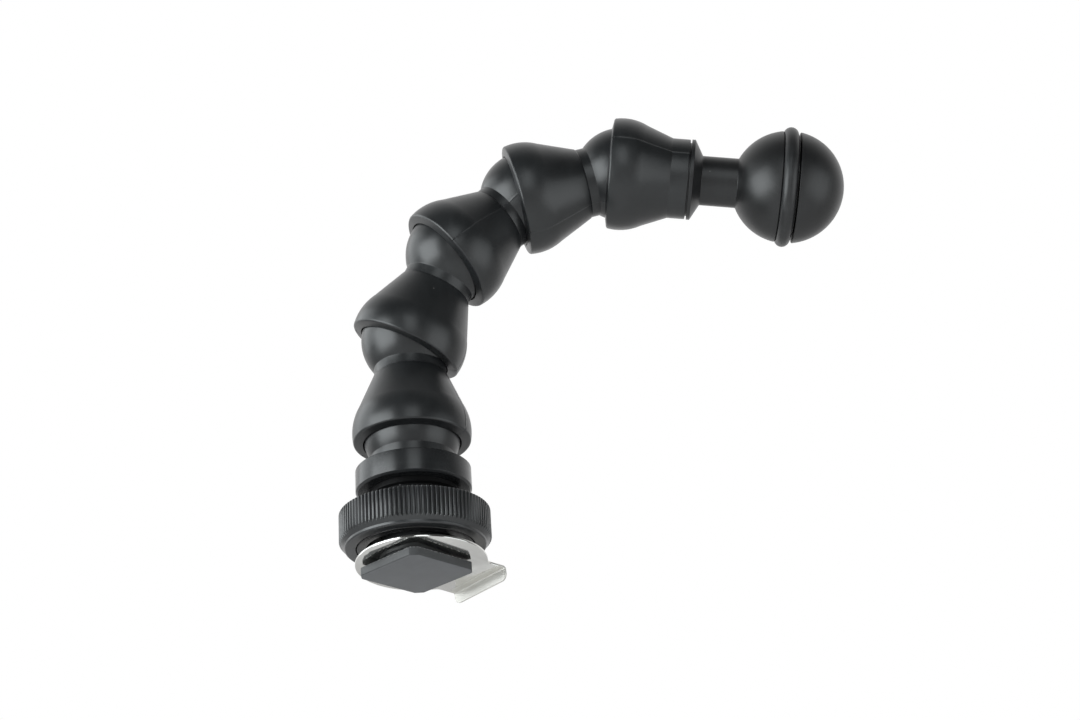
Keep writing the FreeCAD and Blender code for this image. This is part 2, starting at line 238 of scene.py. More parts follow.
def arc_points(start: Point, through: Point, end: Point, steps: int) -> list[Point]:
    """Points of a circular arc, without its start.

    Args:
        start: Where the arc starts.
        through: A point on it.
        end: Where it ends.
        steps: Number of straight steps.

    Returns:
        One point for each step.
    """
    (ax, ay), (bx, by), (cx, cy) = start, through, end
    d = 2 * (ax * (by - cy) + bx * (cy - ay) + cx * (ay - by))
    a2, b2, c2 = ax * ax + ay * ay, bx * bx + by * by, cx * cx + cy * cy
    ux = (a2 * (by - cy) + b2 * (cy - ay) + c2 * (ay - by)) / d
    uy = (a2 * (cx - bx) + b2 * (ax - cx) + c2 * (bx - ax)) / d
    radius = math.hypot(ax - ux, ay - uy)
    first = math.atan2(ay - uy, ax - ux)
    middle = (math.atan2(by - uy, bx - ux) - first) % math.tau
    sweep = (math.atan2(cy - uy, cx - ux) - first) % math.tau
    if middle > sweep:
        sweep -= math.tau
    return [(ux + radius * math.cos(first + sweep * k / steps),
             uy + radius * math.sin(first + sweep * k / steps)) for k in range(1, steps + 1)]


@dataclass
class Section:
    """Section of a turned piece, drawn from point to point with rounded corners."""

    start: Point
    corners: list[tuple[float, float, float]] = field(default_factory=list)

    def line(self, radius: float, height: float, rounding: float = 0.0) -> "Section":
        """Go straight to a point, whose corner may be rounded."""
        self.corners.append((radius, height, rounding))
        return self

    def arc(self, through: Point, end: Point, steps: int, rounding: float = 0.0) -> "Section":
        """Go to a point along a circular arc.

        Args:
            through: A point on the arc.
            end: Where the arc ends.
            steps: Number of straight steps.
            rounding: Radius of the corner at the end.

        Returns:
            This section, for the next call.
        """
        here = self.corners[-1][:2] if self.corners else self.start
        points = arc_points(here, through, end, steps)
        self.corners += [(r, z, 0.0) for r, z in points[:-1]]
        self.corners.append((*points[-1], rounding))
        return self

    def closed(self) -> "Section":
        """Go back to the start."""
        return self.line(*self.start)

    def points(self) -> list[Point]:
        """All points of the section, with each rounded corner as a short curve.

        Returns:
            The points in order.
        """
        path = [(*self.start, 0.0), *self.corners]
        made = [self.start]
        for before, (r, z, rounding), after in zip(path, path[1:], path[2:]):
            into = Vector((r - before[0], z - before[1]))
            out = Vector((after[0] - r, after[1] - z))
            turn = into.angle_signed(out, 0.0)
            cut = rounding * math.tan(abs(turn) / 2)
            cut = min(cut, ROUNDED_SHARE * into.length, ROUNDED_SHARE * out.length)
            if cut < TINY:
                made.append((r, z))
                continue
            corner = Vector((r, z))
            first, last = corner - into.normalized() * cut, corner + out.normalized() * cut
            for k in range(CORNER_STEPS + 1):
                share = k / CORNER_STEPS
                made.append(tuple((1 - share) ** 2 * first + 2 * share * (1 - share) * corner
                                  + share ** 2 * last))
        made.append(path[-1][:2])
        return made


def turn_section(name: str, section: Section, steps: int) -> Piece:
    """Draw a section by extruding a vertex and spin it about the Z axis.

    Args:
        name: Name of the piece.
        section: The section, closed or with both ends on the axis.
        steps: Steps of the spin.

    Returns:
        The turned shell, in edit mode.
    """
    points = [Vector((r, 0.0, z)) for r, z in section.points()]
    piece = single_vertex(name, points[0])
    extrude_path(points)
    bpy.ops.mesh.select_all(action="SELECT")
    bpy.ops.mesh.remove_doubles(threshold=SAME_PLACE)
    bpy.ops.mesh.select_all(action="SELECT")
    bpy.ops.mesh.spin(steps=steps, angle=math.tau, center=(0, 0, 0), axis=(0, 0, 1))
    close_shell()
    return piece


# Shader graphs


class Field:
    """A shader number that varies over a surface, with arithmetic."""

    def __init__(self, graph: "Graph", socket: Socket) -> None:
        """Hold one output of a node of a graph."""
        self.graph = graph
        self.socket = socket

    def _with(self, operation: str, first: object, second: object) -> "Field":
        """Result of one Math node."""
        return self.graph.number("ShaderNodeMath", {0: first, 1: second}, operation=operation)

    def __add__(self, other: object) -> "Field":
        """Sum."""
        return self._with("ADD", self, other)

    def __radd__(self, other: object) -> "Field":
        """Sum, with the number on the left."""
        return self._with("ADD", other, self)

    def __sub__(self, other: object) -> "Field":
        """Difference."""
        return self._with("SUBTRACT", self, other)

    def __rsub__(self, other: object) -> "Field":
        """Difference, with the number on the left."""
        return self._with("SUBTRACT", other, self)

    def __mul__(self, other: object) -> "Field":
        """Product."""
        return self._with("MULTIPLY", self, other)

    def __rmul__(self, other: object) -> "Field":
        """Product, with the number on the left."""
        return self._with("MULTIPLY", other, self)

    def above(self, low: float, high: float) -> "Field":
        """Smooth mask that goes from 0 at low to 1 at high."""
        return self.graph.number("ShaderNodeMapRange",
                                 {"Value": self, "From Min": low, "From Max": high},
                                 interpolation_type="SMOOTHSTEP")

    def limited(self) -> "Field":
        """The number held between 0 and 1."""
        return self.graph.number("ShaderNodeClamp", {"Value": self})

    def sway(self, reach: float) -> "Field":
        """A number between 0 and 1 as a sway about 0."""
        return reach * (self - 0.5)


class Graph:
    """Node tree that is filled from empty."""

    def __init__(self, tree: bpy.types.NodeTree) -> None:
        """Take a tree and empty it."""
        self.tree = tree
        tree.nodes.clear()

    def node(self, kind: str, sockets: dict[str | int, object] | None = None,
             **settings: object) -> bpy.types.Node:
        """Add a node.

        Args:
            kind: Type of the node.
            sockets: Values or links of its inputs, by name or number.
            settings: Its properties, set first.

        Returns:
            The new node.
        """
        made = self.tree.nodes.new(kind)
        for key, value in settings.items():
            setattr(made, key, value)
        for key, value in (sockets or {}).items():
            self.feed(made.inputs[key], value)
        return made

    def number(self, kind: str, sockets: dict[str | int, object], output: str | int = 0,
               **settings: object) -> Field:
        """Add a node and take one of its outputs as a number that varies."""
        return Field(self, self.node(kind, sockets, **settings).outputs[output])

    def feed(self, target: Socket, value: object) -> None:
        """Link a socket or set its value.

        Args:
            target: The input.
            value: A number that varies, another node's output or a plain value.
        """
        if isinstance(value, Field):
            self.tree.links.new(value.socket, target)
        elif isinstance(value, Socket):
            self.tree.links.new(value, target)
        else:
            target.default_value = value


class Surface(Graph):
    """Node tree of one material, with a Principled shader at its end."""

    def __init__(self, name: str) -> None:
        """Make a material with its shader, and the place that its patterns read.

        Args:
            name: Name of the material.
        """
        self.material = bpy.data.materials.new(name)
        self.material.use_nodes = True
        super().__init__(self.material.node_tree)
        self.shader = self.node("ShaderNodeBsdfPrincipled")
        self.node("ShaderNodeOutputMaterial", {"Surface": self.shader.outputs[0]})
        self.place = self.node("ShaderNodeTexCoord").outputs["Object"]

    def set(self, **values: object) -> None:
        """Set inputs of the shader, with _ for the space in a socket's name."""
        for key, value in values.items():
            self.feed(self.shader.inputs[key.replace("_", " ")], value)

    def placed(self, scale: Sequence[float] = (1, 1, 1),
               turn: Sequence[float] = (0, 0, 0)) -> Socket:
        """Object coordinates, turned by radians about each axis and then stretched."""
        turned = self.node("ShaderNodeMapping", {"Vector": self.place, "Rotation": turn})
        return self.node("ShaderNodeMapping", {"Vector": turned.outputs[0],
                                               "Scale": scale}).outputs[0]

    def part(self, place: Socket, axis: str) -> Field:
        """One coordinate of a place."""
        return self.number("ShaderNodeSeparateXYZ", {"Vector": place}, axis)

    def noise(self, place: Socket, scale: float, detail: float = 2.0,
              roughness: float = 0.5) -> Field:
        """Noise between 0 and 1 on a vector."""
        return self.number("ShaderNodeTexNoise", {"Vector": place, "Scale": scale,
                                                  "Detail": detail, "Roughness": roughness})

    def specks(self, scale: float, size: float, share: float) -> Field:
        """Small round specks in some of the cells of a pattern.

        Args:
            scale: Cells for each metre.
            size: Radius of a speck as a share of a cell.
            share: Share of the cells that hold a speck.

        Returns:
            A mask that is 1 in a speck.
        """
        cells = self.node("ShaderNodeTexVoronoi", {"Vector": self.place, "Scale": scale})
        parts = self.node("ShaderNodeSeparateColor", {"Color": cells.outputs["Color"]})
        near = 1 - Field(self, cells.outputs["Distance"]).above(0.6 * size, size)
        chosen = 1 - Field(self, parts.outputs[0]).above(share, share + 0.01)
        return near * chosen

    def mix(self, share: Field, first: object, second: object) -> Socket:
        """Colour between two colours."""
        return self.node("ShaderNodeMix", {0: share, 6: first, 7: second},
                         data_type="RGBA").outputs[2]

    def relief(self, height: Field, distance: float, under: Socket | None = None) -> Socket:
        """Bumped normal for a height between 0 and 1.

        Args:
            height: The height.
            distance: Depth of the relief in metres.
            under: Normal that the relief lies on.

        Returns:
            The normal socket.
        """
        sockets = {"Height": height, "Distance": distance, "Strength": 1.0}
        if under is not None:
            sockets["Normal"] = under
        return self.node("ShaderNodeBump", sockets).outputs[0]


def rgba(colour: Colour, level: float = 1.0) -> tuple[float, float, float, float]:
    """Colour times a level, with full opacity."""
    return (*(level * part for part in colour), 1.0)


class Finish:
    """A finish that is made into a material."""

    def build(self, name: str) -> Material:
        """Make the material.

        Args:
            name: Name of the material.

        Returns:
            The new material.
        """
        surface = Surface(name)
        self.lay(surface)
        return surface.material

    def lay(self, graph: Surface) -> None:
        """Lay the finish on a surface, in the way of each kind of finish."""
        raise NotImplementedError


@dataclass(frozen=True)
class MouldedPlastic(Finish):
    """Black plastic with the fine grain of its mould, soft sheen and a little dust."""

    colour: Colour
    worn: Colour
    roughness: float
    dust: Colour = (0.22, 0.22, 0.21)
    grain: float = 0.006 * MM

    def lay(self, graph: Surface) -> None:
        """Lay the finish on a surface.

        Args:
            graph: The surface's shader and nodes.
        """
        flow = graph.noise(graph.place, scale=90, detail=3)
        upright = graph.placed((1, 1, 0.35))
        rub = graph.noise(upright, scale=420, detail=4, roughness=0.6)
        grain = graph.noise(graph.place, scale=5200, detail=3, roughness=0.65)
        ripple = graph.noise(graph.place, scale=240, detail=2)
        dust = graph.specks(scale=330, size=0.06, share=0.05)
        tone = graph.mix((0.6 * flow + 0.4 * rub).above(0.35, 0.75), rgba(self.colour),
                         rgba(self.worn))
        graph.set(Base_Color=graph.mix(0.5 * dust, tone, rgba(self.dust)),
                  Roughness=self.roughness + flow.sway(0.10) + rub.sway(0.12)
                  + grain.sway(0.06) + 0.2 * dust,
                  Normal=graph.relief(grain, self.grain,
                                      graph.relief(ripple, 6 * self.grain)))


class TurnedAxis(Enum):
    """Rotation that lays the axis of a turned piece along Z."""

    BASE = (0.0, 0.0, 0.0)
    TIP = (0.0, -math.radians(99.6), 0.0)


@dataclass(frozen=True)
class AnodisedAluminium(Finish):
    """Black anodised aluminium with the fine rings of its turning and a few nicks."""

    colour: Colour
    roughness: float
    axis: TurnedAxis = TurnedAxis.BASE
    rings: float = 1.0
    specular: float = 0.5
    blast: float = 0.003 * MM
    nick: Colour = (0.30, 0.30, 0.30)

    def lay(self, graph: Surface) -> None:
        """Lay the finish on a surface.

        Args:
            graph: The surface's shader and nodes.
        """
        along = graph.placed((0.02, 0.02, 1), self.axis.value)
        rings = graph.noise(along, scale=6500, detail=4, roughness=0.7)
        wide = graph.noise(along, scale=900, detail=2)
        cloud = graph.noise(graph.place, scale=160, detail=3)
        pores = graph.noise(graph.place, scale=7000, detail=2, roughness=0.6)
        nicks = graph.specks(scale=420, size=0.07, share=0.035)
        tone = graph.mix((0.6 * cloud + 0.4 * wide).above(0.3, 0.8), rgba(self.colour),
                         rgba(self.colour, 1.5))
        graph.set(Base_Color=graph.mix(0.4 * nicks, tone, rgba(self.nick)),
                  Roughness=self.roughness + cloud.sway(0.10)
                  + rings.sway(0.10 * self.rings) + pores.sway(0.05),
                  Specular_IOR_Level=self.specular,
                  Normal=graph.relief(rings, 0.002 * MM * self.rings,
                                      graph.relief(pores, self.blast)))


@dataclass(frozen=True)
class WornFoot(Finish):
    """Anodised foot, grey on its underside, with painted shade that darkens its sides, and
    bright along its upper edges.
    """

    colour: Colour = (0.106, 0.110, 0.115)
    # Darker copy of the foot's colour for its sides: painted shade
    side: Colour = (0.034, 0.035, 0.036)
    bare: Colour = (0.55, 0.55, 0.54)
    roughness: float = 0.5
    thickness: float = 1.85 * MM
    edge: float = 0.15 * MM
    underside: tuple[float, float] = (0.005 * MM, 0.05 * MM)
    turn: float = math.radians(-45.8)

    def lay(self, graph: Surface) -> None:
        """Lay the finish on a surface.

        Args:
            graph: The surface's shader and nodes.
        """
        height = graph.part(graph.place, "Z")
        cloud = graph.noise(graph.place, scale=210, detail=4, roughness=0.6)
        grain = graph.noise(graph.place, scale=4200, detail=3, roughness=0.7)
        along = graph.placed((1, 0.03, 1), (0, 0, self.turn))
        brushed = graph.noise(along, scale=5200, detail=3)
        top_edge = (height.above(self.thickness - 1.3 * self.edge, self.thickness - self.edge)
                    * (1 - height.above(self.thickness - 0.1 * self.edge, self.thickness)))
        chips = top_edge * graph.noise(graph.place, scale=2600, detail=2).above(0.52, 0.6)
        bare = (chips + 0.5 * graph.specks(scale=300, size=0.05, share=0.06)).limited()
        clouded = cloud.above(0.3, 0.75)
        # Above the underside, the sides take the darker tone as painted shade
        tone = graph.mix(height.above(*self.underside),
                         graph.mix(clouded, rgba(self.colour, 0.82), rgba(self.colour)),
                         graph.mix(clouded, rgba(self.side), rgba(self.side, 1.3)))
        graph.set(Base_Color=graph.mix(bare, tone, rgba(self.bare)),
                  Metallic=0.8 * bare,
                  Roughness=self.roughness + cloud.sway(0.14) + brushed.sway(0.08)
                  - 0.15 * bare,
                  Specular_IOR_Level=0.4,
                  Normal=graph.relief(grain, 0.004 * MM,
                                      graph.relief(brushed, 0.002 * MM)))


@dataclass(frozen=True)
class SheetSteel(Finish):
    """Polished stainless sheet with rolling lines, smudges and hairline scratches.

    The lip beyond the fold is darker and satin.
    """

    colour: Colour = (0.74, 0.735, 0.71)
    lip: Colour = (0.64, 0.63, 0.595)
    roughness: float = 0.13
    satin: float = 0.40
    fold: tuple[float, float] = (14.7 * MM, 15.5 * MM)
    turn: float = math.radians(-42.3)

    def lay(self, graph: Surface) -> None:
        """Lay the finish on a surface.

        Args:
            graph: The surface's shader and nodes.
        """
        along = graph.placed((1, 0.015, 1), (0, 0, self.turn))
        rolled = graph.noise(along, scale=5200, detail=4, roughness=0.7)
        smudge = graph.noise(graph.place, scale=130, detail=4, roughness=0.6)
        across = graph.placed((0.03, 1, 1), (0, 0, self.turn + 0.7))
        scratch = graph.noise(across, scale=3300, detail=2)
        lines = scratch.above(0.66, 0.70)
        beyond = graph.part(graph.placed(turn=(0, 0, self.turn)), "X").above(*self.fold)
        sheet = graph.mix(smudge.above(0.35, 0.7), rgba(self.colour), rgba(self.colour, 0.86))
        graph.set(Base_Color=graph.mix(beyond, sheet, rgba(self.lip)),
                  Metallic=1.0,
                  Roughness=self.roughness + self.satin * beyond + smudge.sway(0.10)
                  + rolled.sway(0.06) + 0.08 * lines,
                  Normal=graph.relief(rolled, 0.00015 * MM, graph.relief(lines, 0.0004 * MM)))


@dataclass(frozen=True)
class ScrewSteel(Finish):
    """Plain steel of the hidden fasteners, with a thin film of oil and fine turning."""

    colour: Colour = (0.42, 0.42, 0.41)
    browned: Colour = (0.30, 0.29, 0.27)
    roughness: float = 0.32

    def lay(self, graph: Surface) -> None:
        """Lay the finish on a surface.

        Args:
            graph: The surface's shader and nodes.
        """
        along = graph.placed((0.03, 0.03, 1))
        turned = graph.noise(along, scale=5200, detail=3)
        film = graph.noise(graph.place, scale=350, detail=4, roughness=0.6)
        graph.set(Base_Color=graph.mix(film.above(0.45, 0.7), rgba(self.colour),
                                       rgba(self.browned)),
                  Metallic=1.0,
                  Roughness=self.roughness + film.sway(0.2) + turned.sway(0.1),
                  Normal=graph.relief(turned, 0.002 * MM))


@dataclass(frozen=True)
class RingRubber(Finish):
    """Black rubber with talc in its pores."""

    colour: Colour = (0.009, 0.0095, 0.010)
    talc: Colour = (0.3, 0.3, 0.29)
    roughness: float = 0.40

    def lay(self, graph: Surface) -> None:
        """Lay the finish on a surface.

        Args:
            graph: The surface's shader and nodes.
        """
        bloom = graph.noise(graph.place, scale=260, detail=4, roughness=0.65)
        pores = graph.noise(graph.place, scale=6000, detail=3, roughness=0.7)
        talc = graph.specks(scale=520, size=0.08, share=0.06)
        tone = graph.mix(bloom.above(0.4, 0.75), rgba(self.colour), rgba(self.colour, 1.9))
        graph.set(Base_Color=graph.mix(0.4 * talc, tone, rgba(self.talc)),
                  Roughness=self.roughness + bloom.sway(0.16) + pores.sway(0.1),
                  Specular_IOR_Level=0.45,
                  Normal=graph.relief(pores, 0.006 * MM))


@dataclass(frozen=True)
class PaleFloor(Finish):
    """Matt white floor that is slightly uneven in tone."""

    colour: Colour = (0.84, 0.84, 0.84)
    lighter: Colour = (0.87, 0.87, 0.87)
    roughness: float = 0.8

    def lay(self, graph: Surface) -> None:
        """Lay the finish on a surface.

        Args:
            graph: The surface's shader and nodes.
        """
        cloud = graph.noise(graph.place, scale=2.0, detail=2)
        graph.set(Base_Color=graph.mix(cloud, rgba(self.colour), rgba(self.lighter)),
                  Roughness=self.roughness, Specular_IOR_Level=0.1)


@dataclass
class Finishes:
    """Every material of the arm, made once."""

    arm: Material
    disc: Material
    collar: Material
    thread: Material
    ring: Material
    ball: Material
    foot: Material
    plate: Material
    screw: Material
    rubber: Material

    @classmethod
    def make(cls) -> "Finishes":
        """Build the materials."""
        return cls(
            arm=MouldedPlastic((0.0080, 0.0088, 0.0094), (0.0125, 0.0138, 0.0146),
                               0.34).build("arm"),
            disc=MouldedPlastic((0.006, 0.006, 0.0064), (0.010, 0.010, 0.0105),
                                0.28).build("disc"),
            collar=AnodisedAluminium((0.0115, 0.0122, 0.0128), 0.25,
                                     specular=0.42).build("collar"),
            # Near-black copy of the collar's finish for the boss and thread under the collar:
            # painted shade
            thread=AnodisedAluminium((0.0024, 0.0024, 0.0025), 0.55, rings=0.5,
                                     specular=0.1).build("thread"),
            ring=AnodisedAluminium((0.0130, 0.0138, 0.0145), 0.29, rings=0.4,
                                   specular=0.56).build("ring"),
            ball=AnodisedAluminium((0.0070, 0.0073, 0.0076), 0.38, TurnedAxis.TIP, rings=0.3,
                                   specular=0.45, blast=0.008 * MM).build("ball"),
            foot=WornFoot().build("foot"),
            plate=SheetSteel().build("plate"),
            screw=ScrewSteel().build("screw"),
            rubber=RingRubber().build("rubber"),
        )


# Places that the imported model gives


@dataclass(frozen=True)
class ArmLine:
    """Centres and directions of the joints of the arm, read from the frame."""

    centres: tuple[Vector, ...]
    directions: tuple[Vector, ...]

    @classmethod
    def read(cls) -> "ArmLine":
        """Take the centres from the bending joints and the last direction from the end ball.

        Returns:
            The line of the arm, from the base outwards.
        """
        joints = {joint["name"]: Vector(joint["pos_m"]) for joint in frame["joints"]
                  if joint["name"].startswith("bend_")}
        centres = [joints[name] for name in sorted(joints)]
        mounts = {mount["name"]: mount for mount in frame["record"]["mounts"]}
        directions = [(b - a).normalized() for a, b in zip(centres, centres[1:])]
        directions.append(Vector(mounts["mount_ball"]["axis"]).normalized())
        return cls(tuple(centres), tuple(directions))

    def placement(self, number: int, spin: float = 0.0) -> Matrix:
        """Placement of a piece whose socket is at a joint.

        Args:
            number: Joint, counted from 0 at the base.
            spin: Turn of the piece about its own axis, in radians.

        Returns:
            The matrix that puts the piece there.
        """
        along = self.directions[number]
        side = Vector((0, 1, 0)).cross(along).normalized()
        turn = Matrix((side, along.cross(side), along)).transposed().to_4x4()
        return Matrix.Translation(self.centres[number]) @ turn @ Matrix.Rotation(spin, 4, "Z")


# Sub-assemblies


@dataclass
class BallAndSocket:
    """Sizes that every ball and socket of the arm shares."""

    ball_r: float = 10.5 * MM
    gap: float = 0.1 * MM
    ball_top: float = 6.1 * MM
    mouth_in_ball_r: float = 7.2 * MM
    mouth_in_ball_depth: float = 2.8 * MM
    through_r: float = 5.7 * MM
    throat_r: float = 6.6 * MM
    throat_taper: float = 1.6 * MM
    neck_r: float = 7.85 * MM
    mouth_drop: float = 2.65 * MM
    flare_start: float = 2.4 * MM
    mouth_r: float = 10.5 * MM
    lip_r: float = 12.55 * MM
    lip_rise: float = 0.3 * MM
    lip_round: float = 0.55 * MM
    bulge_r: float = 12.65 * MM
    bulge_z: float = 1.2 * MM
    shoulder_r: float = 11.4 * MM
    shoulder_z: float = 5.35 * MM
    neck_round: float = 0.12 * MM
    half_wall: float = 1.0 * MM
    steps: int = 144

    def lip_side(self) -> float:
        """Height at which the round of the lip runs into the side of the bell."""
        return self.lip_rise + self.lip_round - self.mouth_drop

    def on_bell(self, place: Vector) -> bool:
        """Whether a place is nearer to the outer skin of a bell than to its socket."""
        return place.length > self.ball_r + self.half_wall

    def socket_end(self, bore_r: float) -> Point:
        """Inner end of a socket, at its bore."""
        return (bore_r, math.sqrt((self.ball_r + self.gap) ** 2 - self.throat_r ** 2)
                + self.throat_taper)

    def add_ball(self, section: Section, centre_z: float, neck_r: float) -> Section:
        """Draw a ball from the end of its neck to the bore at its top.

        Args:
            section: The section as far as the neck.
            centre_z: Height of the ball's centre.
            neck_r: Radius of the neck.

        Returns:
            The same section.
        """
        top = centre_z + self.ball_top
        crown_r = math.sqrt(self.ball_r ** 2 - self.ball_top ** 2)
        neck_z = centre_z - math.sqrt(self.ball_r ** 2 - neck_r ** 2)
        return (section.line(neck_r, neck_z, self.neck_round)
                .arc((self.ball_r, centre_z), (crown_r, top), steps=40, rounding=ROUND)
                .line(self.mouth_in_ball_r, top, ROUND)
                .line(self.through_r, top - self.mouth_in_ball_depth, ROUND))

    def start_bell(self, bore_r: float) -> Section:
        """Draw a socket from its bore to the lip, and the bell as far as its shoulder.

        Args:
            bore_r: Radius of the bore above the socket.

        Returns:
            The section so far, with the ball's centre at the origin.
        """
        radius = self.ball_r + self.gap
        throat_z = math.sqrt(radius ** 2 - self.throat_r ** 2)
        flare_r = math.sqrt(radius ** 2 - self.flare_start ** 2)
        corner = (self.lip_r - self.lip_round, self.lip_rise - self.mouth_drop)
        bevel = self.lip_round * (1 - math.sqrt(0.5))
        return (Section(self.socket_end(bore_r))
                .line(self.throat_r, throat_z)
                .arc((radius, 0.0), (flare_r, -self.flare_start), steps=30, rounding=SOFT)
                .line(self.mouth_r, -self.mouth_drop, FINE)
                .line(*corner)
                .arc((self.lip_r - bevel, corner[1] + bevel),
                     (self.lip_r, corner[1] + self.lip_round), steps=6)
                .arc((self.bulge_r, self.bulge_z), (self.shoulder_r, self.shoulder_z),
                     steps=18))


@dataclass
class PartingLine:
    """Fine seam that the two halves of a mould leave on opposite sides of a piece."""

    width: float = 0.16 * MM
    height: float = 0.035 * MM
    notch: float = 0.12 * MM

    def raise_on(self, piece: Piece, outside: Callable[[Vector], bool],
                 rim_z: float) -> None:
        """Raise the seam on the outer skin of a turned shell in edit mode.

        Args:
            piece: The shell, whose mould parts in the XZ plane.
            outside: Tells whether a place is on the outer skin.
            rim_z: Height below which the seam is a notch in the rim.
        """

        def on_seam(place: Vector) -> bool:
            """Whether a place is on the seam."""
            return abs(place.y) < TINY and outside(place)

        select_edges(piece, lambda first, second: on_seam(first) and on_seam(second))
        bpy.ops.mesh.bevel(offset=self.width / 2, segments=2, affect="EDGES")
        select_vertices(piece, lambda place: on_seam(place) and place.z > rim_z)
        bpy.ops.transform.shrink_fatten(value=self.height)
        select_vertices(piece, lambda place: on_seam(place) and place.z <= rim_z)
        bpy.ops.transform.shrink_fatten(value=-self.notch)


@dataclass
class ArmSegments:
    """The four moulded segments between the base ball and the last segment."""

    joint: BallAndSocket
    pitch: float
    neck_step: float = 0.25 * MM
    neck_start: float = 13.2 * MM
    seam_turns: tuple[float, ...] = (-23.0, 0.0, -77.0, -22.0)

    def outside(self, place: Vector) -> bool:
        """Whether a place is on the outer skin of a segment."""
        joint = self.joint
        return (joint.on_bell(place) if place.z < joint.shoulder_z + TINY
                else math.hypot(place.x, place.y) > joint.neck_r - SOFT
                and place.z < self.pitch + joint.ball_top - SOFT)

    def model(self) -> Piece:
        """Model one segment about its own axis.

        Returns:
            The shaded piece, with its socket's centre at the origin.
        """
        joint = self.joint
        section = joint.start_bell(joint.through_r)
        section.line(joint.neck_r + self.neck_step, self.neck_start, SOFT)
        section.line(joint.neck_r, self.neck_start + self.neck_step, SOFT)
        section = joint.add_ball(section, self.pitch, joint.neck_r).closed()
        piece = turn_section("arm_segment", section, joint.steps)
        PartingLine().raise_on(piece, self.outside, joint.lip_side())
        return finish_mesh(piece)

    def build(self, line: ArmLine, finish: Material) -> None:
        """Copy the segment to each of its places and dress it.

        Args:
            line: Where the joints are.
            finish: Material of the arm.
        """
        first = self.model()
        for number, turn in enumerate(self.seam_turns):
            piece = first.copy()
            piece.data = first.data.copy()
            piece.name = f"segment_{number + 1}_moulding"
            bpy.context.collection.objects.link(piece)
            settle(piece, line.placement(number, math.radians(turn)))
            hand_over(piece, f"segment_{number + 1}", f"arm_segment_{number + 1}",
                      finish)
        bpy.data.objects.remove(first)


